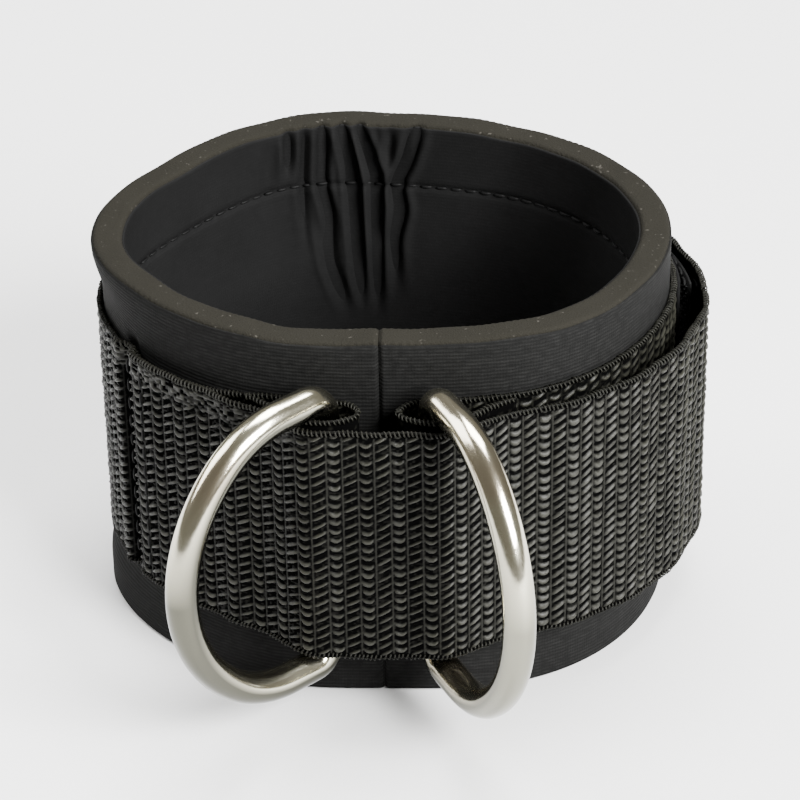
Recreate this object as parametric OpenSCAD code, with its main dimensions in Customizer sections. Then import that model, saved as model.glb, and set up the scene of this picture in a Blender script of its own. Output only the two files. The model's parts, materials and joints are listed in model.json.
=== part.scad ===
// Padded ankle cuff for cable-pulley exercise.
// Frame: millimetres, +Z up, origin on the cuff's axis at the pad's bottom edge.
// The seam where the pad's two ends meet faces -Y.

/* [Pad] */
// Height of the neoprene pad
pad_height = 77; // [74:1:86]
// Mean outer radius of the pad
pad_radius = 50; // [49:0.5:56]
// How much wider than deep the cuff is: half the difference of its two radii
oval = 4.3; // [0:0.1:4.5]
// Full thickness of the pad, both jerseys included
pad_thickness = 6.3; // [5:0.1:7]
// Thickness of each knitted jersey face
jersey_thickness = 0.5; // [0.4:0.1:0.8]
// Gap between the pad's two ends at the front
seam_gap = 0.4; // [0.2:0.1:1]

/* [Webbing] */
// Width of every webbing strap
webbing_width = 50; // [48:0.5:50]
// Thickness of the webbing
webbing_thickness = 1.4; // [1.2:0.1:1.6]
// Height of the base webbing's centre line
webbing_level = 40; // [38:0.5:41]
// How far the closing strap lies below the base webbing
strap_drop = 0.4; // [0:0.1:0.4]
// Degrees round the cuff at which the closing strap is sewn down
strap_start = 206; // [200:1:212]
// Degrees round the cuff at which the closing strap peels open
peel_line = 360; // [355:1:362]
// Degrees that the strap's free tail covers
tail_sweep = 62; // [45:1:70]

/* [Hook and loop] */
// Height of the hook patch
hook_height = 42; // [38:1:43]
// Height of the loop patch
loop_height = 48; // [46:1:49]
// Thickness of the hook patch
hook_thickness = 1.4; // [1:0.1:1.6]
// Thickness of the loop patch
loop_thickness = 1.8; // [1.4:0.1:2]

/* [D-rings] */
// Diameter of the ring wire
wire = 6; // [5:0.5:6]
// Clear width inside each ring
ring_clear_width = 51.4; // [51.2:0.1:53]
// Depth of a ring, from the bar to the crown of its arc, along the wire's centre
ring_depth = 33.75; // [32:0.25:36]
// Length of the straight legs beside the bar
ring_leg = 9.7; // [8:0.1:11]
// Degrees from the seam to each ring's bar
bar_angle = 12.5; // [11:0.5:14]
// Direction that the left ring points in
left_yaw = 223; // [215:1:240]
// Direction that the right ring points in
right_yaw = 296.7; // [290:0.1:310]

/* [Hidden] */

seam = 270;                         // direction that the seam faces
facet = 2.5;                        // degrees of one flat of a curved wall
wire_radius = wire / 2;
bore_clearance = 0.1;
bore_radius = wire_radius + bore_clearance;
loop_radius = bore_radius + webbing_thickness;
layer_gap = 0.03;                   // air left between two layers made separately
bar_offset = loop_radius + layer_gap;   // from the pad's outer face to a bar's centre
ply = webbing_thickness + 0.1;      // one layer of webbing with the slack over it
moving_gap = 0.3;                   // kept between the peeling tail and the cuff
ring_level = webbing_level - strap_drop / 2;
leg_end = 17;                       // degrees from a bar to the end of its keeper's leg
keeper_start = seam - bar_angle - leg_end;
keeper_end = seam + bar_angle + leg_end;
patch_lift = webbing_thickness + loop_thickness + hook_thickness + moving_gap;
thread = 0.4;                       // how proud a stitch stands
thread_width = 0.6;
stitch_pitch = 4;                   // degrees from one stitch to the next
stitch_length = 2.6;                // degrees that one stitch covers

// ---- The cuff's outline -------------------------------------------------

// Small irregularities of a soft cuff: [lobes, along the X axis, between the axes]
lobes = [[2, oval, -0.5], [3, 0, -0.8], [4, 0, 0.5], [5, -0.6, 0], [6, 0.5, 0]];

function sum(list, i = 0) = i < len(list) ? list[i] + sum(list, i + 1) : 0;

function plan_radius(a) =
    pad_radius + sum([for (l = lobes) l[1] * cos(l[0] * a) + l[2] * sin(l[0] * a)]);

function plan_point(a) = plan_radius(a) * [cos(a), sin(a)];

function plan_normal(a) =
    let (along = plan_point(a + 0.5) - plan_point(a - 0.5))
    [along.y, -along.x] / norm(along);

// The point at angle a that stands a distance proud of the pad's outer face
function proud_point(a, distance) = plan_point(a) + distance * plan_normal(a);

function smooth_step(a, from, to) =
    let (t = max(0, min(1, (a - from) / (to - from))))
    t * t * (3 - 2 * t);

// How far the closing strap's inner face stands off the pad: flat over the base
// webbing at the left, up over the two bars, down again, and out to the patches
function strap_lift(a) =
    let (over_leg = 2 * ply, over_bar = bar_offset + loop_radius + 0.1)
    ply
    + (over_leg - ply) * smooth_step(a, keeper_start - 12, keeper_start - 2)
    + (over_bar - over_leg) * smooth_step(a, keeper_start, seam - bar_angle - 1)
    - (over_bar - over_leg) * smooth_step(a, seam + bar_angle + 1, keeper_end)
    + (patch_lift - over_leg) * smooth_step(a, keeper_end + 12, peel_line - 15);

// ---- Shared shapes ------------------------------------------------------

function angles(a0, a1) =
    let (count = max(1, ceil((a1 - a0) / facet)))
    [for (i = [0:count]) a0 + (a1 - a0) * i / count];

// Plan outline of a band with an inner and an outer distance at every angle
module band_outline(a0, a1, inner, outer) {
    list = angles(a0, a1);
    last = len(list) - 1;
    polygon(concat(
        [for (i = [0:last]) proud_point(list[i], outer(list[i]))],
        [for (i = [last:-1:0]) proud_point(list[i], inner(list[i]))]
    ));
}

// Upright band that keeps two fixed distances from the pad's outer face
module wall(a0, a1, inner, outer, low, high) {
    translate([0, 0, low])
        linear_extrude(high - low)
            band_outline(a0, a1, function (a) inner, function (a) outer);
}

// Upright band that follows the closing strap, between two distances from its inner face
module strap_wall(a0, a1, inner, outer, low, high) {
    translate([0, 0, low])
        linear_extrude(high - low)
            band_outline(a0, a1, function (a) strap_lift(a) + inner,
                         function (a) strap_lift(a) + outer);
}

// Row of stitches round the cuff, each a short thread that stands on a face: out is 1 on
// an outer face and -1 on the pad's inner face
module stitch_row(a0, a1, face, out, level) {
    near = face + out * layer_gap;
    far = near + out * thread;
    for (a = [a0:stitch_pitch:a1 - stitch_length])
        wall(a, a + stitch_length, min(near, far), max(near, far),
             level - thread_width / 2, level + thread_width / 2);
}

// Upright row of stitches on a face
module stitch_column(a, face, out, low, high) {
    pitch = 4;
    length = 2.6;
    half_width = 0.3;
    near = face + out * layer_gap;
    far = near + out * thread;
    for (z = [low:pitch:high - length])
        wall(a - half_width, a + half_width, min(near, far), max(near, far), z, z + length);
}

// Whole pad layer between two distances inside the pad's outer face
module pad_layer(inner, outer) {
    half_gap = seam_gap / 2 / pad_radius * 180 / PI;
    wall(seam + half_gap, seam + 360 - half_gap, inner, outer, 0, pad_height);
}

// ---- Pad ----------------------------------------------------------------

module pad_foam() {
    color([0.30, 0.28, 0.24])
        pad_layer(jersey_thickness - pad_thickness, -jersey_thickness);
}

module outer_jersey() {
    color([0.10, 0.10, 0.11])
        pad_layer(-jersey_thickness, 0);
}

module inner_jersey() {
    color([0.06, 0.06, 0.06])
        pad_layer(-pad_thickness, jersey_thickness - pad_thickness);
}

// ---- Webbing ------------------------------------------------------------

webbing_low = webbing_level - webbing_width / 2;
webbing_high = webbing_level + webbing_width / 2;
strap_low = webbing_low - strap_drop;
strap_high = webbing_high - strap_drop;

// The length of webbing sewn to the pad, from one keeper loop round the back to the other
module base_webbing() {
    color([0.13, 0.13, 0.12])
        wall(keeper_end - 360, keeper_start, layer_gap, webbing_thickness,
             webbing_low, webbing_high);
}

// One folded end of the base webbing: side is -1 at the left, 1 at the right
module keeper_loop(side) {
    bar = proud_point(seam + side * bar_angle, bar_offset);
    from = side < 0 ? keeper_start : seam + bar_angle;
    to = side < 0 ? seam - bar_angle : keeper_end;
    translate([0, 0, webbing_low])
        linear_extrude(webbing_width)
            difference() {
                union() {
                    translate(bar)
                        circle(r = loop_radius, $fn = 64);
                    band_outline(from, to, function (a) layer_gap, function (a) webbing_thickness);
                    band_outline(from, to, function (a) strap_lift(a) - ply,
                                 function (a) strap_lift(a) - 0.1);
                }
                translate(bar)
                    circle(r = bore_radius, $fn = 64);
            }
}

module left_keeper_loop() {
    color([0.12, 0.12, 0.11])
        keeper_loop(-1);
}

module right_keeper_loop() {
    color([0.12, 0.12, 0.11])
        keeper_loop(1);
}

// The sewn part of the closing strap, from its anchor across both bars to the peel line
module closing_strap() {
    end_gap = 0.3;
    color([0.15, 0.15, 0.14])
        strap_wall(strap_start, peel_line - end_gap, 0, webbing_thickness, strap_low, strap_high);
}

// The free end of the closing strap, which peels away from the loop patch
module strap_tail() {
    color([0.17, 0.17, 0.15])
        strap_wall(peel_line, peel_line + tail_sweep, 0, webbing_thickness, strap_low, strap_high);
}

// ---- Hook and loop ------------------------------------------------------

hook_margin = 4;                    // degrees of bare tail at each end of the hook patch

module hook_patch() {
    color([0.08, 0.08, 0.08])
        strap_wall(peel_line + hook_margin, peel_line + tail_sweep - hook_margin,
                   -hook_thickness, -layer_gap,
                   webbing_level - hook_height / 2, webbing_level + hook_height / 2);
}

module loop_patch() {
    color([0.05, 0.05, 0.05])
        wall(peel_line, peel_line + tail_sweep + 10,
             webbing_thickness + layer_gap, webbing_thickness + loop_thickness,
             webbing_level - loop_height / 2, webbing_level + loop_height / 2);
}

// ---- D-rings ------------------------------------------------------------

// An arc of the ring's wire in the plane of the ring
module wire_arc(centre, radius, from, to, thick = wire_radius) {
    translate(centre)
        rotate([0, 0, from])
            rotate_extrude(angle = to - from, $fn = 96)
                translate([radius, 0])
                    circle(r = thick, $fn = 32);
}

// D-ring lying in the XY plane, its bar along Y through the origin. The shoulders are
// thicker by a hair, so that the crown and the legs run a little way into them.
module ring_shape() {
    half_width = ring_clear_width / 2 + wire_radius;
    bend = 4;                       // radius of the two bends beside the bar
    shoulder = 20;                  // radius of the two shoulders
    hair = 0.01;
    lap = 0.3;                      // length that a leg runs into a shoulder
    lap_angle = 1;                  // degrees that the crown runs into a shoulder
    rise = half_width - shoulder;
    bow = ring_depth - ring_leg;
    crown = (bow * bow + rise * rise - shoulder * shoulder) / (2 * (bow - shoulder));
    crown_centre = ring_depth - crown;
    joint_angle = atan2(rise, ring_leg - crown_centre);
    translate([0, half_width - bend, 0])
        rotate([90, 0, 0])
            cylinder(r = wire_radius, h = 2 * (half_width - bend), $fn = 48);
    wire_arc([crown_centre, 0, 0], crown, -joint_angle - lap_angle, joint_angle + lap_angle);
    for (side = [0, 1])
        mirror([0, side, 0]) {
            wire_arc([bend, half_width - bend, 0], bend, 90, 180);
            translate([bend, half_width, 0])
                rotate([0, 90, 0])
                    cylinder(r = wire_radius, h = ring_leg - bend + lap, $fn = 48);
            wire_arc([ring_leg, rise, 0], shoulder, joint_angle, 90, wire_radius + hair);
        }
}

// D-ring stood upright on its bar: side is -1 at the left, 1 at the right
module ring(side, yaw) {
    bar = proud_point(seam + side * bar_angle, bar_offset);
    translate([bar.x, bar.y, ring_level])
        rotate([90, 0, yaw])
            ring_shape();
}

module left_ring() {
    color([0.80, 0.79, 0.75])
        ring(-1, left_yaw);
}

module right_ring() {
    color([0.80, 0.79, 0.75])
        ring(1, right_yaw);
}

// ---- Stitching ----------------------------------------------------------

edge_margin = 2.5;                  // from the webbing's edge to the stitching beside it

// The bobbin thread of the webbing's upper edge, which shows inside the cuff
module upper_seam_stitching() {
    color([0.20, 0.20, 0.19])
        stitch_row(seam + 4, seam + 356, -pad_thickness, -1, webbing_high - edge_margin);
}

module lower_seam_stitching() {
    color([0.20, 0.20, 0.19])
        stitch_row(seam + 4, seam + 356, -pad_thickness, -1, webbing_low + edge_margin);
}

// Two upright rows on the pad's inner face, which hold a keeper loop's legs together
module keeper_stitching(side) {
    for (along = [leg_end - 2, leg_end - 6])
        stitch_column(seam + side * (bar_angle + along), -pad_thickness, -1,
                      webbing_low + 6, webbing_high - 6);
}

module left_keeper_stitching() {
    color([0.20, 0.20, 0.19])
        keeper_stitching(-1);
}

module right_keeper_stitching() {
    color([0.20, 0.20, 0.19])
        keeper_stitching(1);
}

// The two upright rows that sew the closing strap's start to the base webbing
module strap_anchor_stitching() {
    color([0.20, 0.20, 0.19])
        for (along = [3, 9])
            stitch_column(strap_start + along, ply + webbing_thickness, 1,
                          strap_low + 3, strap_high - 3);
}

// Stitching of the hook patch, which shows on the outside of the strap's tail
module hook_patch_stitching() {
    tail_face = patch_lift + webbing_thickness;
    color([0.20, 0.20, 0.19])
        for (side = [-1, 1])
            stitch_row(peel_line + hook_margin + 1, peel_line + tail_sweep - hook_margin - 1,
                       tail_face, 1, webbing_level + side * (hook_height / 2 - 1.5));
}

// Stitching of the loop patch, along the borders that the hook patch leaves bare
module loop_patch_stitching() {
    color([0.20, 0.20, 0.19])
        for (side = [-1, 1])
            stitch_row(peel_line + 1, peel_line + tail_sweep + 9,
                       webbing_thickness + loop_thickness, 1,
                       webbing_level + side * (loop_height / 2 - 1.5));
}

pad_foam();
outer_jersey();
inner_jersey();
base_webbing();
left_keeper_loop();
right_keeper_loop();
closing_strap();
strap_tail();
hook_patch();
loop_patch();
left_ring();
right_ring();
upper_seam_stitching();
lower_seam_stitching();
left_keeper_stitching();
right_keeper_stitching();
strap_anchor_stitching();
hook_patch_stitching();
loop_patch_stitching();
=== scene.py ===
import json
import math

import bpy
import numpy as np
from mathutils import Matrix, Vector


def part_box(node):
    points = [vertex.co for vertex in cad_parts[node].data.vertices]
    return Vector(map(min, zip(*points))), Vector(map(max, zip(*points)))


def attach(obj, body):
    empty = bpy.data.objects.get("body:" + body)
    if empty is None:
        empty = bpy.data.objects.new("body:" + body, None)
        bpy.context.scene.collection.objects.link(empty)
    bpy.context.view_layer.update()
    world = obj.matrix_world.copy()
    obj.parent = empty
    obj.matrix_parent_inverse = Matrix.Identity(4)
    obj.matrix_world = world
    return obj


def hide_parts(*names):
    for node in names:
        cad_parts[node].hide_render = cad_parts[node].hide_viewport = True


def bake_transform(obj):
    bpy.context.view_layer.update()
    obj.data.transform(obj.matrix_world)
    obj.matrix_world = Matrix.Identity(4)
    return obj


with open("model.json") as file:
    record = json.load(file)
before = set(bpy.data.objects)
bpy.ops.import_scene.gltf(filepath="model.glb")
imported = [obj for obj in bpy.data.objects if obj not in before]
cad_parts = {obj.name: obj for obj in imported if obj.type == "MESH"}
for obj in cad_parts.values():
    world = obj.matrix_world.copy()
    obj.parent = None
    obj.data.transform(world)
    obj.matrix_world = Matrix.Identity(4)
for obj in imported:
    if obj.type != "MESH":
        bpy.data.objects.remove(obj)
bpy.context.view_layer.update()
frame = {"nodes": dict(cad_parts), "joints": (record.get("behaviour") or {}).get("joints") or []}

# ---------------------------------------------------------------------------
# Measures, in millimetres and degrees. Levels and hinges are read from the
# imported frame. The rest repeat the CAD model's values and its outline formula,
# up to LOBES. Those after it belong to the look.
# ---------------------------------------------------------------------------

MM = 0.001
JOINTS = {joint["name"]: joint for joint in frame["joints"]}


def box_mm(node):
    low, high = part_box(node)
    return np.array(low) / MM, np.array(high) / MM


def levels(node):
    """A CAD node's lowest and highest level."""
    low, high = box_mm(node)
    return low[2], high[2]


PAD_HEIGHT = levels("pad_foam")[1]
BASE_LOW, BASE_HIGH = levels("base_webbing")
STRAP_LOW, STRAP_HIGH = levels("closing_strap")
WEB_WIDTH = BASE_HIGH - BASE_LOW
BASE_LEVEL = (BASE_LOW + BASE_HIGH) / 2
STRAP_LEVEL = (STRAP_LOW + STRAP_HIGH) / 2
PAD_RADIUS = 50.0
PAD_THICKNESS = 6.3
JERSEY = 0.5
WEBBING = 1.4
PLY = WEBBING + 0.1
BORE = 3.1
LOOP = BORE + WEBBING
LAYER_GAP = 0.03
SEAM = 270.0
BAR_ANGLE = 12.5
LEG_END = 17.0
KEEPER_START = SEAM - BAR_ANGLE - LEG_END
KEEPER_END = SEAM + BAR_ANGLE + LEG_END
STRAP_START = 206.0
PEEL = 360.0
TAIL_SWEEP = 62.0
HOOK = 1.4
LOOP_PILE = 1.8
MOVING_GAP = 0.3
PATCH_LIFT = WEBBING + LOOP_PILE + HOOK + MOVING_GAP
WIRE_RADIUS = 3.0
LOBES = ((2, 4.3, -0.5), (3, 0.0, -0.8), (4, 0.0, 0.5), (5, -0.6, 0.0), (6, 0.5, 0.0))

LINING_RADIUS = 39.5
TAIL_RADIUS = 58.0
KEEPER_SLACK = 2.6
ANCHOR = STRAP_START + 1.2
BASE_RISE = 0.9
SEAM_INSET = 2.4
SEAM_ROWS = (BASE_HIGH + BASE_RISE - SEAM_INSET, BASE_LOW + BASE_RISE + SEAM_INSET)

RANDOM = np.random.default_rng(7)


def plan_radius(a):
    a = np.radians(a)
    return PAD_RADIUS + sum(c * np.cos(n * a) + s * np.sin(n * a) for n, c, s in LOBES)


def plan_point(a):
    a = np.asarray(a, float)
    r = plan_radius(a)
    return np.stack([r * np.cos(np.radians(a)), r * np.sin(np.radians(a))], -1)


def plan_normal(a):
    along = plan_point(np.asarray(a) + 0.5) - plan_point(np.asarray(a) - 0.5)
    normal = np.stack([along[..., 1], -along[..., 0]], -1)
    return normal / np.linalg.norm(normal, axis=-1, keepdims=True)


def proud(a, distance):
    """Points at angles a that stand a distance proud of the pad's outer face."""
    return plan_point(a) + np.asarray(distance)[..., None] * plan_normal(a)


def smooth_step(x, low, high):
    t = np.clip((np.asarray(x, float) - low) / (high - low), 0, 1)
    return t * t * (3 - 2 * t)


def strap_lift(a):
    """How far the closing strap's inner face stands off the pad at angle a."""
    over_leg = 2 * PLY
    over_bar = 2 * LOOP + LAYER_GAP + 0.1
    return (
        PLY
        + (over_leg - PLY) * smooth_step(a, KEEPER_START - 12, KEEPER_START - 2)
        + (over_bar - over_leg) * smooth_step(a, KEEPER_START, SEAM - BAR_ANGLE - 1)
        - (over_bar - over_leg) * smooth_step(a, SEAM + BAR_ANGLE + 1, KEEPER_END)
        + (PATCH_LIFT - over_leg) * smooth_step(a, KEEPER_END + 12, PEEL - 15)
    )


def press(a):
    """How deep the webbing is pulled into the soft pad at the cuff's left side."""
    return 1.6 * smooth_step(a, 150, 180) * (1 - smooth_step(a, 192, 218))


def anchor_groove(a):
    """Depth, 0 to 1, of the furrow where the closing strap's start is sewn to the base webbing."""
    return np.exp(-((np.asarray(a) - ANCHOR) / 1.9) ** 4)


# ---------------------------------------------------------------------------
# Node material helpers
# ---------------------------------------------------------------------------


class Nodes:
    """A material's node tree, with short calls to add and join nodes."""

    def __init__(self, name):
        self.material = bpy.data.materials.new(name)
        self.material.use_nodes = True
        self.tree = self.material.node_tree
        self.shader = self.tree.nodes["Principled BSDF"]

    def add(self, kind, **values):
        node = self.tree.nodes.new(kind)
        for key, value in values.items():
            if hasattr(node, key):
                setattr(node, key, value)
            else:
                node.inputs[key.replace("_", " ")].default_value = value
        return node

    def join(self, out, into):
        self.tree.links.new(out, into)

    def coordinates(self, scale, source="UV"):
        place = self.add("ShaderNodeTexCoord")
        mapping = self.add("ShaderNodeMapping")
        mapping.inputs["Scale"].default_value = scale
        self.join(place.outputs[source], mapping.inputs["Vector"])
        return mapping.outputs["Vector"]

    def noise(self, vector, scale, detail=3.0, roughness=0.55):
        node = self.add("ShaderNodeTexNoise", Scale=scale, Detail=detail, Roughness=roughness)
        self.join(vector, node.inputs["Vector"])
        return node.outputs["Fac"]

    def ramp(self, value, *stops):
        node = self.add("ShaderNodeValToRGB")
        ramp = node.color_ramp
        while len(ramp.elements) < len(stops):
            ramp.elements.new(0.5)
        for element, (place, colour) in zip(ramp.elements, stops):
            element.position = place
            element.color = (*colour, 1)
        self.join(value, node.inputs["Fac"])
        return node.outputs["Color"]

    def math(self, operation, a, b):
        node = self.add("ShaderNodeMath", operation=operation)
        for value, socket in ((a, node.inputs[0]), (b, node.inputs[1])):
            if isinstance(value, (int, float)):
                socket.default_value = value
            else:
                self.join(value, socket)
        return node.outputs[0]

    def mix(self, factor, a, b):
        node = self.add("ShaderNodeMix", data_type="RGBA")
        sockets = (node.inputs[0], node.inputs[6], node.inputs[7])
        for value, socket in zip((factor, a, b), sockets):
            if isinstance(value, (int, float)):
                socket.default_value = value
            elif isinstance(value, tuple):
                socket.default_value = (*value, 1)
            else:
                self.join(value, socket)
        return node.outputs[2]

    def bump(self, height, strength, distance, before=None):
        node = self.add("ShaderNodeBump", Strength=strength, Distance=distance)
        self.join(height, node.inputs["Height"])
        if before is not None:
            self.join(before, node.inputs["Normal"])
        return node.outputs["Normal"]

    def set(self, **values):
        for key, value in values.items():
            socket = self.shader.inputs[key.replace("_", " ")]
            if isinstance(value, bpy.types.NodeSocket):
                self.join(value, socket)
            else:
                socket.default_value = value
        return self.material


def grey(value):
    return (value, value, value)


# ---------------------------------------------------------------------------
# Materials. UV coordinates are in decimetres along and across each piece, and
# object coordinates are in metres. The two scales make one unit of texture a
# millimetre.
# ---------------------------------------------------------------------------

UV_MM = 100.0
OBJECT_MM = 1000.0


def webbing_material():
    """Black woven webbing: yarn colour where the weave's relief is raised, and painted shade, near
    black, in its pits, where the specular is cut as well.
    """
    n = Nodes("webbing")
    where = n.coordinates((UV_MM, UV_MM, UV_MM))
    height = n.add("ShaderNodeAttribute", attribute_name="relief").outputs["Fac"]
    fibres = n.noise(n.coordinates((UV_MM * 1.2, UV_MM * 9.0, UV_MM)), 1.0, 2.0)
    patches = n.noise(where, 0.09, 2.0)
    yarn = n.mix(patches, (0.0106, 0.0105, 0.0076), (0.0168, 0.0166, 0.0122))
    yarn = n.mix(n.math("MULTIPLY", fibres, 0.5), yarn, (0.028, 0.0277, 0.0215))
    # Painted shade: where the relief is low, in the pits, the colour is painted near black.
    raised = n.ramp(height, (0.15, (0, 0, 0)), (0.85, (1, 1, 1)))
    colour = n.mix(raised, (0.0012, 0.0012, 0.0012), yarn)
    rough = n.ramp(fibres, (0.3, grey(0.36)), (0.7, grey(0.52)))
    normal = n.bump(fibres, 0.5, 0.00012)
    return n.set(Base_Color=colour, Roughness=rough, Normal=normal,
                 Specular_IOR_Level=n.math("MULTIPLY", raised, 0.22))


def foam_material():
    """Raw neoprene foam: olive brown, with small cells and pale specks."""
    n = Nodes("foam")
    where = n.coordinates((OBJECT_MM, OBJECT_MM, OBJECT_MM), "Object")
    cells = n.add("ShaderNodeTexVoronoi", Scale=2.6)
    n.join(where, cells.inputs["Vector"])
    fine = n.noise(where, 3.2, 4.0, 0.7)
    broad = n.noise(where, 0.12, 3.0)
    specks = n.ramp(n.noise(where, 1.1, 1.0), (0.70, (0, 0, 0)), (0.76, (1, 1, 1)))
    colour = n.mix(broad, (0.0052, 0.0048, 0.0035), (0.0088, 0.0081, 0.0061))
    colour = n.mix(n.math("MULTIPLY", fine, 0.5), colour, (0.013, 0.012, 0.009))
    colour = n.mix(n.math("MULTIPLY", specks, 0.5), colour, (0.05, 0.047, 0.04))
    normal = n.bump(cells.outputs["Distance"], 0.6, 0.00015)
    normal = n.bump(fine, 0.5, 0.0001, normal)
    return n.set(Base_Color=colour, Roughness=0.92, Normal=normal, Specular_IOR_Level=0.08)


def knit_material(name, dark, light, rib):
    """Fine knitted jersey: courses 0.75 mm high, crossed by fainter wales 0.57 mm apart, with lint."""
    n = Nodes(name)
    where = n.coordinates((UV_MM, UV_MM, UV_MM))
    courses = n.add("ShaderNodeTexWave", wave_type="BANDS", bands_direction="Y", Scale=0.42,
                    Distortion=1.6, Detail=2.0)
    wales = n.add("ShaderNodeTexWave", wave_type="BANDS", bands_direction="X", Scale=0.55,
                  Distortion=2.5, Detail=2.0)
    for wave in (courses, wales):
        n.join(where, wave.inputs["Vector"])
    broken = n.ramp(n.noise(where, 0.6, 3.0), (0.35, grey(0)), (0.65, grey(1)))
    knit = n.math("MULTIPLY", courses.outputs["Fac"], broken)
    fuzz = n.noise(where, 2.2, 4.0, 0.7)
    broad = n.noise(where, 0.07, 3.0)
    lint = n.ramp(n.noise(where, 0.9, 2.0), (0.76, (0, 0, 0)), (0.82, (1, 1, 1)))
    colour = n.mix(broad, dark, light)
    colour = n.mix(n.math("MULTIPLY", knit, rib), colour, tuple(2.6 * c for c in light))
    colour = n.mix(n.math("MULTIPLY", lint, 0.18), colour, (0.03, 0.03, 0.03))
    normal = n.bump(courses.outputs["Fac"], rib, 0.00014)
    normal = n.bump(wales.outputs["Fac"], rib * 0.2, 0.0001, normal)
    normal = n.bump(fuzz, 0.5, 0.0001, normal)
    return n.set(Base_Color=colour, Roughness=0.82, Normal=normal, Specular_IOR_Level=0.06)


def nickel_material(name, painted_shade_tone):
    """Polished nickel. Its steep and downward faces are painted darker, towards the tone given as its
    second argument:
    a painted reflection, as a ring seen over a dark floor would show it, and not wear."""
    n = Nodes(name)
    where = n.coordinates((OBJECT_MM, OBJECT_MM, OBJECT_MM), "Object")
    broad = n.noise(where, 0.12, 3.0)
    scuffs = n.noise(n.coordinates((5 * OBJECT_MM, 5 * OBJECT_MM, 0.6 * OBJECT_MM), "Object"), 1.0, 3.0)
    facing = n.add("ShaderNodeSeparateXYZ")
    n.join(n.add("ShaderNodeTexCoord").outputs["Normal"], facing.inputs["Vector"])
    upward = n.math("ADD", n.math("MULTIPLY", facing.outputs["Z"], 0.5), 0.5)
    colour = n.mix(broad, (0.72, 0.69, 0.55), (0.62, 0.59, 0.46))
    copper = n.ramp(n.noise(where, 0.05, 1.0), (0.56, grey(0)), (0.70, grey(0.35)))
    colour = n.mix(copper, colour, (0.46, 0.34, 0.24))
    # Painted reflection: faces that don't point up are painted towards the dark tone.
    free_of_painted_shade = n.ramp(upward, (0.50, grey(0)), (0.72, grey(1)))
    colour = n.mix(free_of_painted_shade, (painted_shade_tone, 0.98 * painted_shade_tone, 0.78 * painted_shade_tone), colour)
    rough = n.ramp(scuffs, (0.35, grey(0.13)), (0.75, grey(0.22)))
    normal = n.bump(broad, 0.12, 0.0006)
    normal = n.bump(scuffs, 0.05, 0.0001, normal)
    return n.set(Base_Color=colour, Metallic=1.0, Roughness=rough, Normal=normal)


def thread_material():
    n = Nodes("thread")
    where = n.coordinates((OBJECT_MM, OBJECT_MM, OBJECT_MM), "Object")
    twist = n.noise(where, 4.0, 2.0)
    colour = n.mix(twist, (0.0015, 0.0015, 0.0015), (0.004, 0.004, 0.004))
    return n.set(Base_Color=colour, Roughness=0.6, Normal=n.bump(twist, 0.5, 0.0001),
                 Specular_IOR_Level=0.1)


def tape_material(name, dark, light, rough):
    """Fuzzy cloth of the hook tape or the loop tape."""
    n = Nodes(name)
    where = n.coordinates((OBJECT_MM, OBJECT_MM, OBJECT_MM), "Object")
    fuzz = n.noise(where, 1.6, 4.0, 0.7)
    colour = n.mix(fuzz, dark, light)
    return n.set(Base_Color=colour, Roughness=rough, Normal=n.bump(fuzz, 0.6, 0.0003),
                 Specular_IOR_Level=0.1)


def floor_material():
    n = Nodes("floor")
    where = n.coordinates((1.0, 1.0, 1.0), "Object")
    grain = n.noise(where, 900.0, 2.0)
    colour = n.mix(grain, (0.70, 0.70, 0.70), (0.73, 0.73, 0.73))
    return n.set(Base_Color=colour, Roughness=0.7)


# ---------------------------------------------------------------------------
# Mesh helpers
# ---------------------------------------------------------------------------


def new_mesh(name, points, faces, material, uv=None, attributes=None):
    """A smooth-shaded mesh object from points in millimetres."""
    mesh = bpy.data.meshes.new(name)
    mesh.from_pydata((np.asarray(points) * MM).tolist(), [], [list(f) for f in faces])
    mesh.update()
    mesh.polygons.foreach_set("use_smooth", [True] * len(mesh.polygons))
    if uv is not None:
        layer = mesh.uv_layers.new(name="UVMap")
        index = np.zeros(len(mesh.loops), int)
        mesh.loops.foreach_get("vertex_index", index)
        layer.data.foreach_set("uv", (np.asarray(uv)[index] * 0.01).ravel())
    for key, values in (attributes or {}).items():
        data = mesh.attributes.new(key, "FLOAT", "POINT")
        data.data.foreach_set("value", np.asarray(values, np.float32))
    mesh.materials.append(material)
    obj = bpy.data.objects.new(name, mesh)
    bpy.context.scene.collection.objects.link(obj)
    return obj


def tube_faces(stations, ring, closed=False):
    """Quads of a grid of stations by ring points, each ring closed on itself, with end caps if open."""
    faces = []
    for i in range(stations if closed else stations - 1):
        a, b = i * ring, ((i + 1) % stations) * ring
        for j in range(ring):
            k = (j + 1) % ring
            faces.append((a + j, a + k, b + k, b + j))
    if not closed:
        faces.append(tuple(range(ring - 1, -1, -1)))
        last = (stations - 1) * ring
        faces.append(tuple(range(last, last + ring)))
    return faces


def thin_tube(line, radius, sides=4):
    """Points and faces of a round thread along a line of points."""
    line = np.asarray(line, float)
    tangent = np.gradient(line, axis=0)
    tangent /= np.linalg.norm(tangent, axis=1, keepdims=True)
    guide = np.array([0.31, 0.17, 0.93])
    first = np.cross(tangent, guide)
    first /= np.linalg.norm(first, axis=1, keepdims=True)
    second = np.cross(tangent, first)
    turn = np.linspace(0, 2 * np.pi, sides + 1)[:-1]
    points = line[:, None] + radius * (np.cos(turn)[None, :, None] * first[:, None]
                                       + np.sin(turn)[None, :, None] * second[:, None])
    return points.reshape(-1, 3), tube_faces(len(line), sides)


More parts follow.
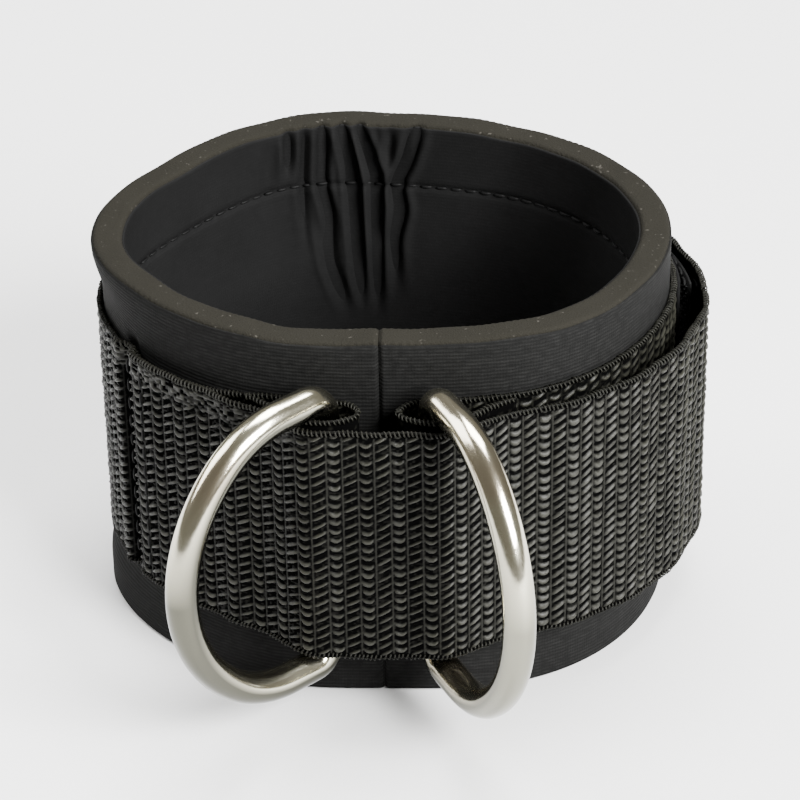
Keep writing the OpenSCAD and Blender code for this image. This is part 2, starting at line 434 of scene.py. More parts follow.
def resample(path, step):
    """A path of (x, y, level, cover) points as points a step apart: the distance along it, plan
    positions, levels, covers, and unit normals to its right."""
    path = np.asarray(path, float)
    seg = np.linalg.norm(np.diff(path[:, :2], axis=0), axis=1)
    dist = np.concatenate([[0], np.cumsum(seg)])
    count = max(2, int(round(dist[-1] / step)) + 1)
    s = np.linspace(0, dist[-1], count)
    xy = np.stack([np.interp(s, dist, path[:, k]) for k in (0, 1)], 1)
    level, cover = (np.interp(s, dist, path[:, k]) for k in (2, 3))
    tangent = np.gradient(xy, axis=0)
    tangent /= np.linalg.norm(tangent, axis=1, keepdims=True)
    normal = np.stack([tangent[:, 1], -tangent[:, 0]], 1)
    return s, xy, level, cover, normal


# ---------------------------------------------------------------------------
# Webbing
# ---------------------------------------------------------------------------

WEFT_PITCH = 2.9
WARP_PITCH = 1.88
COLUMN_PHASE = 1.93
FLOAT_HEIGHT = 0.6


def cell_noise(i, j, seed):
    """A repeatable value from 0 to 1 for each cell of the weave."""
    h = np.sin(i * 127.1 + j * 311.7 + seed * 74.7) * 43758.5453
    return h - np.floor(h)


def weave(s, v, cover):
    """Height, from 0 to about 1, of the webbing's face. Columns stand side by side along the
    strap: in one the yarn crosses in hanging cups, in the next in slanting rungs, and fine
    threads run up between them. Deep pits are left between the rungs."""
    column = np.floor(s / WEFT_PITCH)
    odd = np.mod(column, 2) > 0
    u = 2 * (s / WEFT_PITCH - column) - 1
    sway = 0.12 * (cell_noise(column, 3.0, 5.0) - 0.5)
    centre = np.where(odd, 0.85 * u, -0.50 + 1.05 * np.abs(u) ** 2.2)
    w = 2 * v / WARP_PITCH - odd + sway - centre
    row = np.round(w / 2)
    d = w - 2 * row + 0.16 * (cell_noise(column, row, 2.0) - 0.5)
    half = np.where(odd, 0.60 - 0.17 * u * u, 0.74 - 0.27 * u * u)
    half = half * (0.80 + 0.36 * cell_noise(column, row, 4.0)) * (0.55 + 0.45 * cover)
    rung = np.clip(1 - (d / half) ** 2, 0, 1) ** 0.8
    slip = 0.12 * (cell_noise(column, row, 6.0) - 0.5)
    reach = np.where(odd, np.abs(u - 0.04 + slip) / 0.90, np.abs(u + slip) / 0.84)
    along = np.clip(1 - reach ** 4, 0, 1) ** 0.7
    jitter = 0.55 + 0.35 * cell_noise(column, row, 1.0)
    jitter = jitter + 0.20 * cell_noise(np.floor(s / 0.45), np.floor(v / 0.3), 8.0)
    threads = 0.46 * np.exp(-((1 - np.abs(u)) / 0.13) ** 2)
    ground = 0.24 * cell_noise(np.floor(s / 0.6), np.floor(v / 0.4), 9.0)
    return np.maximum(np.maximum(jitter * along * rung, threads), ground)


LOOP_PITCH = 0.82
LOOP_STEPS = 11
YARN_RADIUS = 0.17
YARN_SIDES = 5
YARN_RELIEF = 0.48


def edge_yarn(path, side):
    """The yarn that whips over one edge of the webbing, as one long coil."""
    s, xy, level, _, normal = resample(path, LOOP_PITCH / LOOP_STEPS)
    knots = np.arange(0, s[-1] + 4, 1.3)
    wander = np.interp(s, knots, RANDOM.normal(0, 0.6, len(knots)))
    size = np.interp(s, knots, RANDOM.uniform(0.75, 1.2, len(knots)))
    sink = np.interp(s, knots, RANDOM.uniform(-0.15, 0.15, len(knots)))
    turn = 2 * np.pi * s / LOOP_PITCH + wander
    outward = 0.52 * size * np.sin(turn)
    up = side * (WEB_WIDTH / 2 - 0.62 + sink + 0.45 * size * np.cos(turn))
    line = np.stack([xy[:, 0] + normal[:, 0] * outward, xy[:, 1] + normal[:, 1] * outward,
                     level + up], 1)
    points, faces = thin_tube(line, YARN_RADIUS, YARN_SIDES)
    return points, faces, np.repeat(s, YARN_SIDES)


def ribbon(name, path, material, step=0.29, row_step=0.19, matted=0.0):
    """A length of webbing along a path of (x, y, level, cover) points, standing on edge: the
    woven band as one closed surface, and the yarn that whips over its two edges. Cover is how
    full the yarns lie: under 0.4, sewing pulls the weave flat, and the flat weave gets the webbing's
    near-black painted shade. Near the top edge, the yarns of the first matted millimetres have lost
    their order."""
    s, xy, level, cover, normal = resample(path, step)
    half = WEB_WIDTH / 2 - 0.12
    core = WEBBING / 2 - FLOAT_HEIGHT
    edge = 0.6
    rows = int(2 * (half - edge) / row_step)
    v_face = np.linspace(-half + edge, half - edge, rows + 1)
    turn = np.linspace(0, np.pi, 7)[1:-1]
    back_rows = max(8, rows // 4)
    v_back = np.linspace(half - edge, -half + edge, back_rows + 1)
    v = np.concatenate([v_face, half - edge + edge * np.sin(turn), v_back,
                        -half + edge - edge * np.sin(turn)])
    side = np.concatenate([np.ones(rows + 1), np.cos(turn), -np.ones(back_rows + 1),
                           -np.cos(turn)])
    flat = np.abs(side) > 0.999
    S, V = np.meshgrid(s, v, indexing="ij")
    fade = smooth_step(half - np.abs(V), 0.6, 1.5)
    sewn = 1 - smooth_step(cover[:, None], 0, 0.4)
    sewn = sewn * (1 - smooth_step(V, half - 5.5, half - 4))
    woven = weave(S - COLUMN_PHASE, V, cover[:, None]) * (1 - sewn)
    worn = smooth_step(V, half - 6, half - 3.5) * (1 - smooth_step(S, 0.5 * matted, matted + 0.01))
    tangle = cell_noise(np.floor(S / 0.8), np.floor(V / 0.5), 7.0)
    woven = woven + worn * (0.75 * tangle - woven)
    # The relief also sets the colour: the webbing material paints low relief near black, as painted
    # shade. So the flattened weave, the rounded edges and the back are painted dark.
    height = np.where(flat & (side > 0), fade * woven, 0.25)
    height = np.where(flat & (side < 0), 0.35 * woven, height)
    outward = side * (core + FLOAT_HEIGHT * height)
    x = xy[:, None, 0] + normal[:, None, 0] * outward
    y = xy[:, None, 1] + normal[:, None, 1] * outward
    z = level[:, None] + V
    points = [np.stack([x, y, z], -1).reshape(-1, 3)]
    faces = tube_faces(len(s), len(v))
    uv = [np.stack([S, V + 30 * (side < 0)], -1).reshape(-1, 2)]
    relief = [height.ravel()]
    for edge_side in (1, -1):
        yarn, yarn_faces, along = edge_yarn(path, edge_side)
        count = sum(len(p) for p in points)
        faces += [tuple(i + count for i in face) for face in yarn_faces]
        points.append(yarn)
        around = np.tile(np.arange(YARN_SIDES) * 0.3, len(along) // YARN_SIDES)
        uv.append(np.stack([along, around], -1))
        relief.append(np.full(len(yarn), YARN_RELIEF))
    return new_mesh(name, np.concatenate(points), faces, material, np.concatenate(uv),
                    {"relief": np.concatenate(relief)})


def bar_centre(side):
    return proud(np.array(SEAM + side * BAR_ANGLE), LOOP + LAYER_GAP)


def keeper_turn(side):
    """The slack fold of the base webbing round a bar, from the outside of the bar to the pad.
    Its nose hangs well past the bar, towards the seam."""
    centre = bar_centre(side)
    out = plan_normal(np.array(SEAM + side * BAR_ANGLE))
    to_seam = -side * np.array([-out[1], out[0]])
    radius = BORE + WEBBING / 2
    turn = np.radians(np.linspace(90, -90, 25))
    nose = radius * np.cos(turn) + KEEPER_SLACK * np.cos(turn) ** 1.5
    return centre + radius * np.sin(turn)[:, None] * out + nose[:, None] * to_seam


def with_level(points, level, cover=0.5):
    """A path: plan points with their level and their cover."""
    extra = [np.broadcast_to(value, len(points)) for value in (level, cover)]
    return np.column_stack([points, *extra])


def base_level(a):
    """Height of the base webbing's centre line at angle a: it sags a little at the left."""
    return BASE_LEVEL + BASE_RISE - 2.5 * smooth_step(a, 140, 180) * (1 - smooth_step(a, 218, 250))


def base_path():
    """The path of the base webbing: left folded leg, round the left bar, round the pad, round
    the right bar, and the right folded leg."""
    left = np.arange(KEEPER_START, SEAM - BAR_ANGLE - 0.5, 0.5)
    right = np.arange(SEAM + BAR_ANGLE + 1.0, KEEPER_END + 0.1, 0.5)
    round_pad = np.arange(SEAM - BAR_ANGLE - 0.5, KEEPER_END - 360 - LEG_END + 0.5, -0.25)
    half = WEBBING / 2
    ends = BASE_LEVEL + BASE_RISE
    legs = [with_level(proud(a, strap_lift(a) - PLY + half), ends) for a in (left, right)]
    pulled_in = press(round_pad) + 0.9 * anchor_groove(round_pad)
    pad_part = with_level(proud(round_pad, half - pulled_in), base_level(round_pad))
    return np.concatenate([legs[0], with_level(keeper_turn(-1), ends), pad_part,
                           with_level(keeper_turn(1)[::-1], ends), legs[1]])


def base_webbing(material):
    webbing = ribbon("base_webbing_soft", base_path()[::-1], material, step=0.36, row_step=0.26)
    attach(webbing, "cuff")
    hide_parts("base_webbing", "left_keeper_loop", "right_keeper_loop")
    return webbing


def strap_level(a):
    """Height of the closing strap's centre line: it was pulled round slightly askew."""
    start = -1.1 * (1 - smooth_step(a, 210, 245))
    return start + STRAP_LEVEL + 1.3 - 1.2 * smooth_step(a, 215, 265) - 1.5 * smooth_step(a, 270, 340)


def closing_strap(material):
    a = np.arange(STRAP_START - 2.6, PEEL + TAIL_SWEEP + 0.1, 0.25)
    bulge = 1.1 * np.exp(-((a - 357) / 10) ** 2)
    ripple = 0.22 * (1 + np.sin(0.45 * a)) * smooth_step(a, 212, 222)
    lift = strap_lift(a) + bulge + ripple - press(a) - 1.5 * anchor_groove(a)
    fullness = 0.42 + 0.58 * smooth_step(a, 282, 300) - 0.45 * smooth_step(a, 318, 336)
    # Painted shade: in the anchor furrow the cover falls to 0, so the weave lies flat and its relief of
    # 0 is painted near black.
    path = with_level(proud(a, lift + WEBBING / 2), strap_level(a), fullness * (1 - anchor_groove(a)))
    strap = ribbon("closing_strap_soft", path, material, matted=60.0)
    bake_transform(strap)
    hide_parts("closing_strap", "strap_tail")
    return strap


# ---------------------------------------------------------------------------
# Pad
# ---------------------------------------------------------------------------

SEAM_HALF_GAP = 0.03

# Valleys of the lining's wrinkles. Each has a relative depth, a half width, and points of
# (distance below the rim, angle round the cuff) that its course runs through.
WRINKLES = (
    (0.9, 1.0, ((0, 116.9), (9, 117.1))),
    (0.5, 0.8, ((0, 112.0), (13, 113.2), (27, 112.4))),
    (1.0, 1.0, ((0, 106.7), (13, 107.6), (20, 105.6), (29, 104.6))),
    (1.3, 1.2, ((0, 101.4), (9, 99.2), (20, 98.2), (28, 97.8), (44, 96.4))),
    (1.5, 1.1, ((0, 97.0), (12.5, 92.2), (20, 92.6), (26, 92.4), (34, 92.6), (44, 92.8))),
    (0.3, 0.8, ((0, 92.2), (6, 92.0))),
    (0.4, 0.9, ((0, 88.4), (8, 88.8))),
    (1.1, 1.2, ((0, 81.1), (9, 84.6), (13.5, 87.4), (19, 86.0), (26, 88.2), (38, 87.4))),
    (0.6, 1.5, ((22, 107.6), (33, 105.4), (44, 100.6))),
    (0.3, 1.6, ((2, 123.0), (16, 124.0))),
)


def wrinkle(a, z):
    """How far the lining is pushed into the pad at angle a and height z: valleys with
    low ridges beside them."""
    below = PAD_HEIGHT - z
    grid = np.linspace(-6, 66, 289)
    window = 17
    total = np.zeros(np.broadcast(a, z).shape)
    for depth, half_width, points in WRINKLES:
        down = [p[0] for p in points]
        course = np.interp(grid, down, [p[1] for p in points])
        course = np.convolve(np.pad(course, window // 2, "edge"), np.full(window, 1 / window), "valid")
        gap = (np.mod(a, 360) - np.interp(below, grid, course)) * math.pi / 180 * LINING_RADIUS
        fade = 1 - smooth_step(below, 0.6 * down[-1] + 0.4 * down[0], down[-1] + 3)
        if down[0] > 0:
            fade = fade * smooth_step(below, down[0] - 2, down[0] + 6)
        valley = np.exp(-(gap / half_width) ** 2)
        ridge = np.exp(-((np.abs(gap) - half_width - 0.9) / 0.9) ** 2)
        total += depth * fade * (valley - 0.30 * ridge)
    return total


def groove(Z):
    """Depth of the two furrows that the webbing's stitching pulls into the lining."""
    return sum(0.5 * np.exp(-((Z - row) / 0.7) ** 2) for row in SEAM_ROWS)


def lining_push(A, Z):
    """How far the pad's inner face is pushed outward by wrinkles, stitching and handling."""
    soft = 0.12 * np.sin(np.radians(A) * 13 + Z * 0.11)
    at_rim = 1 - 0.7 * smooth_step(Z, PAD_HEIGHT - 3.5, PAD_HEIGHT - 0.3)
    return 2.0 * at_rim * wrinkle(A - 0.4, Z) + groove(Z) + soft


def wall_points(angles, D, Z):
    """Points at distances D off the outline and heights Z, with one row for each angle."""
    base = plan_point(angles)
    normal = plan_normal(angles)
    x = base[:, None, 0] + normal[:, None, 0] * D
    y = base[:, None, 1] + normal[:, None, 1] * D
    return np.stack([x, y, Z], -1).reshape(-1, 3)


def wall_mesh(name, angles, section, material, shift):
    """A closed wall swept round the outline. section is a list of (distance, height) points in
    order round the wall, and shift(a, distance, height) says how far each point moves in both."""
    section = np.asarray(section, float)
    A, D = np.meshgrid(angles, section[:, 0], indexing="ij")
    Z = np.broadcast_to(section[:, 1], A.shape)
    d_move, z_move = shift(A, D, Z)
    D = D + d_move
    Z = Z + z_move
    points = wall_points(angles, D, Z)
    step = np.linalg.norm(np.diff(plan_point(angles), axis=0), axis=1)
    along = np.concatenate([[0], np.cumsum(step)])
    uv = np.stack([np.broadcast_to(along[:, None], A.shape), Z + 0.7 * D], -1).reshape(-1, 2)
    return new_mesh(name, points, tube_faces(len(angles), len(section)), material, uv)


def webbing_print(A, Z):
    """How deep the pad's outer face is pressed in under the base webbing."""
    a = np.mod(A, 360)
    beyond = np.abs(Z - BASE_LEVEL - BASE_RISE)
    pulled_in = (press(a) + 0.05) * (1 - smooth_step(beyond, 26, 35))
    return pulled_in + 1.1 * anchor_groove(a) * (1 - smooth_step(beyond, 23.5, 25.5))


def pad_angles(step):
    """Angles a step apart from one side of the pad's seam to the other, and closer beside it."""
    half_gap = math.degrees(SEAM_HALF_GAP / PAD_RADIUS)
    beside = 1.5
    near = np.linspace(half_gap, beside, 12)
    middle = np.linspace(beside, 360 - beside, int((360 - 2 * beside) / step))[1:-1]
    return SEAM + np.concatenate([near, middle, (360 - near)[::-1]])


def column(distance, low, high, count):
    """Straight side of a section."""
    return [(distance, z) for z in np.linspace(low, high, count)]


def rounded(centre, radius, start, end, count=5):
    """Corner of a section: points of an arc, angles in degrees from outward, upward positive."""
    return [(centre[0] + radius * math.cos(t), centre[1] + radius * math.sin(t))
            for t in np.radians(np.linspace(start, end, count))]


def seam_fold(A):
    """Depth of the fold where the pad's two ends are sewn together."""
    beside = np.radians(np.abs(np.mod(A - SEAM + 180, 360) - 180)) * PAD_RADIUS
    return 0.55 * np.exp(-(beside / 0.5) ** 2)


def rim_wave(A):
    """Gentle unevenness of the cut rim, with a dip at the seam."""
    a = np.radians(A)
    waves = 0.22 * np.sin(5 * a + 1.0) + 0.14 * np.sin(11 * a + 0.4) + 0.07 * np.sin(23 * a)
    return waves - 0.8 * seam_fold(A)


def pad_foam(material):
    radius = 0.9
    inner, outer = JERSEY * 0.8 - PAD_THICKNESS, -JERSEY * 0.5
    top, low = PAD_HEIGHT, 0.0
    section = (
        column(outer, low + radius, top - radius, 30)
        + rounded((outer - radius, top - radius), radius, 0, 90)
        + [(d, top) for d in np.linspace(outer - 1.6, inner + 1.6, 6)]
        + rounded((inner + radius, top - radius), radius, 90, 180)
        + column(inner, top - radius, low + radius, 70)
        + rounded((inner + radius, low + radius), radius, 180, 270)
        + rounded((outer - radius, low + radius), radius, 270, 360)
    )

    def shift(A, D, Z):
        near_rim = smooth_step(Z, top - 6, top)
        inside = 1 - smooth_step(D, inner + 0.1, inner + 3.5)
        pushed = lining_push(A, Z) * inside
        rough = 0.06 * np.sin(A * 3.7) + 0.05 * np.sin(A * 9.1 + 2)
        on_top = smooth_step(Z, top - 2, top)
        pushed = pushed - (webbing_print(A, Z) + seam_fold(A)) * (1 - inside)
        return pushed + rough * on_top, rim_wave(A) * near_rim - 0.15 * np.abs(pushed) * on_top

    foam = wall_mesh("pad_foam_soft", pad_angles(0.5), section[::-1], material, shift)
    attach(foam, "cuff")
    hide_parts("pad_foam")
    return foam


def outer_jersey(material):
    lip = 0.55
    low, high = 0.35, PAD_HEIGHT - lip
    section = (
        column(0.0, low + 0.3, high - 0.3, 44)
        + [(-0.12, high)]
        + column(-JERSEY - 0.2, high - 0.2, low + 0.2, 6)
        + [(-0.12, low)]
    )

    def shift(A, D, Z):
        near_rim = smooth_step(Z, PAD_HEIGHT - 6, PAD_HEIGHT)
        soft = 0.07 * np.sin(np.radians(A) * 9 + Z * 0.05)
        soft *= smooth_step(np.abs(Z - BASE_LEVEL), 25, 34)
        on_face = smooth_step(D, -0.4, -0.1)
        return soft - seam_fold(A) * on_face - webbing_print(A, Z), rim_wave(A) * near_rim

    jersey = wall_mesh("outer_jersey_soft", pad_angles(0.75), section[::-1], material, shift)
    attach(jersey, "cuff")
    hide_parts("outer_jersey")
    return jersey


def inner_jersey(material):
    low, high = 0.35, PAD_HEIGHT - 0.6
    face = -PAD_THICKNESS
    section = (
        column(face + JERSEY + 0.2, low + 0.3, high - 0.3, 6)
        + [(face + 0.15, high)]
        + column(face, high - 0.3, low + 0.3, 150)
        + [(face + 0.15, low)]
    )

    def shift(A, D, Z):
        near_rim = smooth_step(Z, PAD_HEIGHT - 6, PAD_HEIGHT)
        on_face = 1 - smooth_step(D, face + 0.2, face + 0.5)
        return lining_push(A, Z) * on_face, rim_wave(A) * near_rim

    lining = wall_mesh("inner_jersey_soft", pad_angles(0.5), section[::-1], material, shift)
    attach(lining, "cuff")
    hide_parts("inner_jersey")
    return lining


# ---------------------------------------------------------------------------
# D-rings
# ---------------------------------------------------------------------------

RING_LEG = 9.7
RING_DEPTH = 33.75
RING_BEND = 4.0
RING_SHOULDER = 20.0


def ring_outline(half_width):
    """Centre line of a D-ring's wire, as (out from the bar, along the bar), closed."""
    rise = half_width - RING_SHOULDER
    bow = RING_DEPTH - RING_LEG
    crown = (bow ** 2 + rise ** 2 - RING_SHOULDER ** 2) / (2 * (bow - RING_SHOULDER))
    crown_centre = RING_DEPTH - crown
    joint = math.degrees(math.atan2(rise, RING_LEG - crown_centre))

    def arc(centre, radius, start, end, count):
        t = np.radians(np.linspace(start, end, count))
        return np.stack([centre[0] + radius * np.cos(t), centre[1] + radius * np.sin(t)], 1)

    straight = half_width - RING_BEND
    upper = [
        arc((RING_LEG, rise), RING_SHOULDER, joint, 90, 26)[1:],
        np.stack([np.linspace(RING_LEG, RING_BEND, 8), np.full(8, half_width)], 1)[1:],
        arc((RING_BEND, straight), RING_BEND, 90, 180, 14)[1:],
    ]
    upper = np.concatenate(upper)
    bar = np.stack([np.zeros(31), np.linspace(straight, -straight, 31)], 1)[1:-1]
    lower = upper[::-1] * np.array([1, -1])
    bow_arc = arc((crown_centre, 0), crown, -joint, joint, 60)
    return np.concatenate([bow_arc, upper, bar, lower])


def d_ring(node, hinge, material):
    """A D-ring at the place and in the direction of its CAD node."""
    pivot = np.array(JOINTS[hinge]["pos_m"]) / MM
    low, high = box_mm(node)
    half_width = (high[2] - low[2]) / 2 - WIRE_RADIUS
    vertices = np.array([v.co for v in frame["nodes"][node].data.vertices]) / MM
    out = (vertices.max(0) + vertices.min(0)) / 2 - pivot
    far = vertices[np.argmax(np.linalg.norm((vertices - pivot)[:, :2], axis=1))] - pivot
    out = far if np.dot(far[:2], out[:2]) > 0 else out
    out = np.array([out[0], out[1], 0]) / np.hypot(out[0], out[1])
    up = np.array([0, 0, 1.0])
    aside = np.cross(up, out)
    line = ring_outline(half_width)
    tangent = np.roll(line, -1, 0) - np.roll(line, 1, 0)
    tangent /= np.linalg.norm(tangent, axis=1, keepdims=True)
    in_plane = np.stack([tangent[:, 1], -tangent[:, 0]], 1)
    turn = np.linspace(0, 2 * np.pi, 49)[:-1]
    centre = pivot + line[:, :1] * out + line[:, 1:] * up
    radial = in_plane[:, :1] * out + in_plane[:, 1:] * up
    section = np.cos(turn)[None, :, None] * radial[:, None] + np.sin(turn)[None, :, None] * aside
    points = centre[:, None] + WIRE_RADIUS * section
    ring = new_mesh(node + "_polished", points.reshape(-1, 3),
                    tube_faces(len(line), len(turn), closed=True), material)
    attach(ring, node)
    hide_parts(node)
    return ring


# ---------------------------------------------------------------------------
# Stitching, hook and loop
# ---------------------------------------------------------------------------


TAPE_INSET = 1.5
STITCH_RISE = 0.18


def capsule(start, end, radius, out, sides=8, steps=6):
    """Points and faces of one stitch: a thread that rises from the cloth and dives back."""
    t = np.linspace(0, 1, steps + 1)
    line = start + (end - start) * t[:, None] + np.sin(np.pi * t)[:, None] * STITCH_RISE * out
    along = (end - start) / np.linalg.norm(end - start)
    across = np.cross(along, out)
    size = radius * np.sqrt(np.clip(1 - (2 * t - 1) ** 6, 0.05, 1))
    turn = np.linspace(0, 2 * np.pi, sides + 1)[:-1]
    ring = np.cos(turn)[None, :, None] * out + np.sin(turn)[None, :, None] * across
    points = line[:, None] + size[:, None, None] * ring
    return points.reshape(-1, 3), tube_faces(steps + 1, sides)


def gather(name, parts, material, body, nodes):
    """One piece from many small parts, each given as its points and faces."""
    points, faces, count = [], [], 0
    for p, f in parts:
        points.append(p)
        faces += [tuple(i + count for i in face) for face in f]
        count += len(p)
    piece = new_mesh(name, np.concatenate(points), faces, material)
    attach(piece, body)
    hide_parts(*nodes)
    return piece


def on_wall(a, distance, z):
    """The point at angle a and height z, a distance off the pad's outer face."""
    xy = proud(np.array(a), np.array(distance))
    return np.array([xy[0], xy[1], z])


def straight_out(a):
    """Direction straight out of the wall at angle a."""
    n = plan_normal(np.array(a))
    return np.array([n[0], n[1], 0.0])


def row_of_stitches(a0, a1, distance, level, face, pitch=4.0, length=3.1, radius=0.3):
    """Stitches round the cuff; face is 1 on an outer face and -1 on the pad's inner face."""
    parts = []
    for a in np.arange(a0, a1 - length, pitch):
        out = face * straight_out(a + length / 2)
        parts.append(capsule(on_wall(a, distance, level), on_wall(a + length, distance, level),
                             radius, out))
    return parts


def column_of_stitches(a, distance, low, high, face, pitch=4.0, length=3.0, radius=0.3):
    """Stitches one above the other at angle a, from low to high."""
    out = face * straight_out(a)
    return [capsule(on_wall(a, distance, z), on_wall(a, distance, z + length), radius, out)
            for z in np.arange(low, high - length, pitch)]


def stitching(material):
    inner = -PAD_THICKNESS
    sunk = inner + 0.42
    for node, level in zip(("upper_seam_stitching", "lower_seam_stitching"), SEAM_ROWS):
        gather(node + "_thread", row_of_stitches(SEAM + 4, SEAM + 356, sunk, level, -1),
               material, "cuff", [node])
    for node, side in (("left_keeper_stitching", -1), ("right_keeper_stitching", 1)):
        parts = []
        for along in (LEG_END - 2, LEG_END - 6):
            parts += column_of_stitches(SEAM + side * (BAR_ANGLE + along), inner - 0.05,
                                        BASE_LOW + 6, BASE_HIGH - 6, -1)
        gather(node + "_thread", parts, material, "cuff", [node])
    parts = []
    for a, depth in ((ANCHOR, 1.35), (ANCHOR + 6, 0.35)):
        face = PLY + WEBBING - float(press(a)) - depth
        parts += column_of_stitches(a, face, STRAP_LOW + 4, STRAP_HIGH - 2, 1, radius=0.22)
    gather("strap_anchor_stitching_thread", parts, material, "cuff",
           ["strap_anchor_stitching"])
    hook_low, hook_high = levels("hook_patch")
    loop_low, loop_high = levels("loop_patch")
    parts = []
    for level in (hook_low + TAPE_INSET, hook_high - TAPE_INSET):
        parts += row_of_stitches(PEEL + 5, PEEL + TAIL_SWEEP - 5, PATCH_LIFT + WEBBING - 0.1,
                                 level, 1)
    gather("hook_patch_stitching_thread", parts, material, "strap_tail",
           ["hook_patch_stitching"])
    parts = []
    for level in (loop_low + TAPE_INSET, loop_high - TAPE_INSET):
        parts += row_of_stitches(PEEL + 1, PEEL + TAIL_SWEEP + 9, WEBBING + LOOP_PILE - 0.2,
                                 level, 1)
    gather("loop_patch_stitching_thread", parts, material, "cuff",
           ["loop_patch_stitching"])


def patch_wall(a0, a1, inner, outer, low, high):
    """Points and faces of a tape between two angles, two distances off the outline and two levels."""
    angles = np.arange(a0, a1 + 0.01, 0.5)
    section = (column(outer, low, high, 12) + column(inner, high, low, 12))[::-1]
    A, D = np.meshgrid(angles, [p[0] for p in section], indexing="ij")
    Z = np.broadcast_to([p[1] for p in section], A.shape)
    return wall_points(angles, D, Z), tube_faces(len(angles), len(section))


def hook_patch(material):
    """The tape of hooks on the tail's inner side, each hook a bent thread."""
    low, high = levels("hook_patch")
    a0, a1 = PEEL + 4, PEEL + TAIL_SWEEP - 4
    back = PATCH_LIFT
    tape = 0.5
    parts = [patch_wall(a0, a1, back - tape, back - 0.02, low, high)]
    pitch = 1.6
    for a in np.arange(a0 + 1, a1 - 0.8, math.degrees(pitch / TAIL_RADIUS)):
        out = -straight_out(a)
        side = np.array([-out[1], out[0], 0.0])
        for z in np.arange(low + 1, high - 0.8, pitch):
            foot = on_wall(a, back - tape + 0.05, z)
            turn = np.linspace(0, 1.25 * np.pi, 6)
            crook = np.sin(turn)[:, None] * out + (1 - np.cos(turn))[:, None] * side
            line = np.concatenate([[foot], foot + out * 0.35 + 0.28 * crook])
            parts.append(thin_tube(line, 0.11))
    return gather("hook_patch_hooks", parts, material, "strap_tail", ["hook_patch"])


def loop_patch(material):
    """The tape of loops under the tail: a pile of small arches that head every way."""
    low, high = levels("loop_patch")
    a0, a1 = PEEL, PEEL + TAIL_SWEEP + 10
    tape = 0.7
    loops = 1500
    parts = [patch_wall(a0, a1, WEBBING, WEBBING + tape, low, high)]
    for _ in range(loops):
        a = RANDOM.uniform(a0 + 1, a1 - 1)
        z = RANDOM.uniform(low + 2.6, high - 2.6)
        out = straight_out(a)
        heading = RANDOM.uniform(0, 2 * math.pi)
        round_cuff = np.array([-out[1], out[0], 0])
        up = np.array([0, 0, 1.0])
        side = math.cos(heading) * round_cuff + math.sin(heading) * up
        foot = on_wall(a, WEBBING + tape - 0.05, z)
        turn = np.linspace(0, np.pi, 6)
        size = RANDOM.uniform(0.35, 0.55)
        line = foot + size * ((1 - np.cos(turn))[:, None] * side + 1.6 * np.sin(turn)[:, None] * out)
        parts.append(thin_tube(line, 0.07, 3))
    return gather("loop_patch_pile", parts, material, "cuff", ["loop_patch"])


# ---------------------------------------------------------------------------
# Camera, floor and light
# ---------------------------------------------------------------------------

VIEW_AZIMUTH = 1.7
VIEW_ELEVATION = 32.0
VIEW_ROLL = -0.91
VIEW_DISTANCE = 0.6863
VIEW_TARGET = (0.00242, 0.0, 0.03727)
VIEW_LENS = 158.2


def camera():
    """The photograph's view: the azimuth, elevation, roll and distance fitted to it."""
    data = bpy.data.cameras.new("camera")
    data.lens = VIEW_LENS
    data.sensor_width = 36.0
    data.clip_start = 0.01
    data.clip_end = 100.0
    e = math.radians(VIEW_ELEVATION)
    back = Vector((0, -math.cos(e), math.sin(e)))
    right = Vector((1, 0, 0))
    up = right.cross(-back)
    r = math.radians(VIEW_ROLL)
    tilted_right = right * math.cos(r) + up * math.sin(r)
    tilted_up = up * math.cos(r) - right * math.sin(r)
    place = Vector(VIEW_TARGET) + back * VIEW_DISTANCE
    pose = Matrix((
        (tilted_right.x, tilted_up.x, back.x, place.x),
        (tilted_right.y, tilted_up.y, back.y, place.y),
        (tilted_right.z, tilted_up.z, back.z, place.z),
        (0, 0, 0, 1),
    ))
    obj = bpy.data.objects.new("camera", data)
    bpy.context.scene.collection.objects.link(obj)
    obj.matrix_world = Matrix.Rotation(math.radians(VIEW_AZIMUTH), 4, "Z") @ pose
    bpy.context.scene.camera = obj


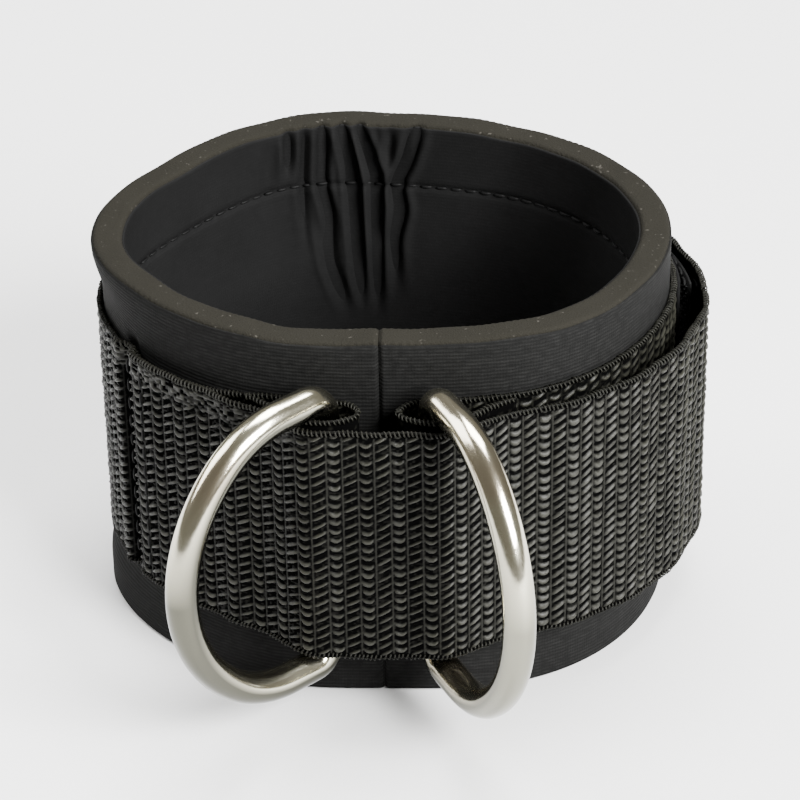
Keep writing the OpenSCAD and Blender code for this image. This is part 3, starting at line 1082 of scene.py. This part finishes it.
def floor():
    material = floor_material()
    size = 20.0
    mesh = bpy.data.meshes.new("floor")
    mesh.from_pydata([(-size, -size, 0), (size, -size, 0), (size, size, 0), (-size, size, 0)],
                     [], [(0, 1, 2, 3)])
    mesh.materials.append(material)
    obj = bpy.data.objects.new("floor", mesh)
    obj.location = (0, 0, -0.0002)
    bpy.context.scene.collection.objects.link(obj)


def softbox(name, place, target, size, power):
    data = bpy.data.lights.new(name, "AREA")
    data.shape = "RECTANGLE"
    data.size, data.size_y = size
    data.energy = power
    obj = bpy.data.objects.new(name, data)
    obj.location = place
    obj.rotation_mode = "QUATERNION"
    obj.rotation_quaternion = (Vector(target) - Vector(place)).to_track_quat("-Z", "Y")
    bpy.context.scene.collection.objects.link(obj)


def lights():
    target = (0, 0, 0.04)
    softbox("key", (0.86, -0.88, 0.85), target, (0.7, 0.7), 128)
    softbox("fill", (-1.05, 0.30, 0.95), target, (0.8, 1.1), 27)
    softbox("top", (0.15, 0.45, 1.5), target, (1.0, 0.8), 66)
    world = bpy.data.worlds.new("studio")
    world.use_nodes = True
    sky = world.node_tree.nodes["Background"]
    sky.inputs["Color"].default_value = (1.0, 0.95, 0.82, 1)
    sky.inputs["Strength"].default_value = 0.22
    bpy.context.scene.world = world


# ---------------------------------------------------------------------------
# The scene
# ---------------------------------------------------------------------------

camera()
floor()
lights()

WEBBING_MATERIAL = webbing_material()
pad_foam(foam_material())
outer_jersey(knit_material("jersey", (0.0023, 0.0023, 0.0022), (0.0052, 0.0052, 0.0050), 0.45))
inner_jersey(knit_material("lining", grey(0.0032), grey(0.0056), 0.1))
base_webbing(WEBBING_MATERIAL)
closing_strap(WEBBING_MATERIAL)
# The left ring gets a darker painted reflection than the right ring, as it faces away from the key
# light.
d_ring("left_ring", "left_ring_hinge", nickel_material("nickel_left", 0.085))
d_ring("right_ring", "right_ring_hinge", nickel_material("nickel_right", 0.20))
stitching(thread_material())
hook_patch(tape_material("hook_tape", grey(0.003), grey(0.009), 0.5))
loop_patch(tape_material("loop_tape", grey(0.0015), grey(0.005), 0.95))
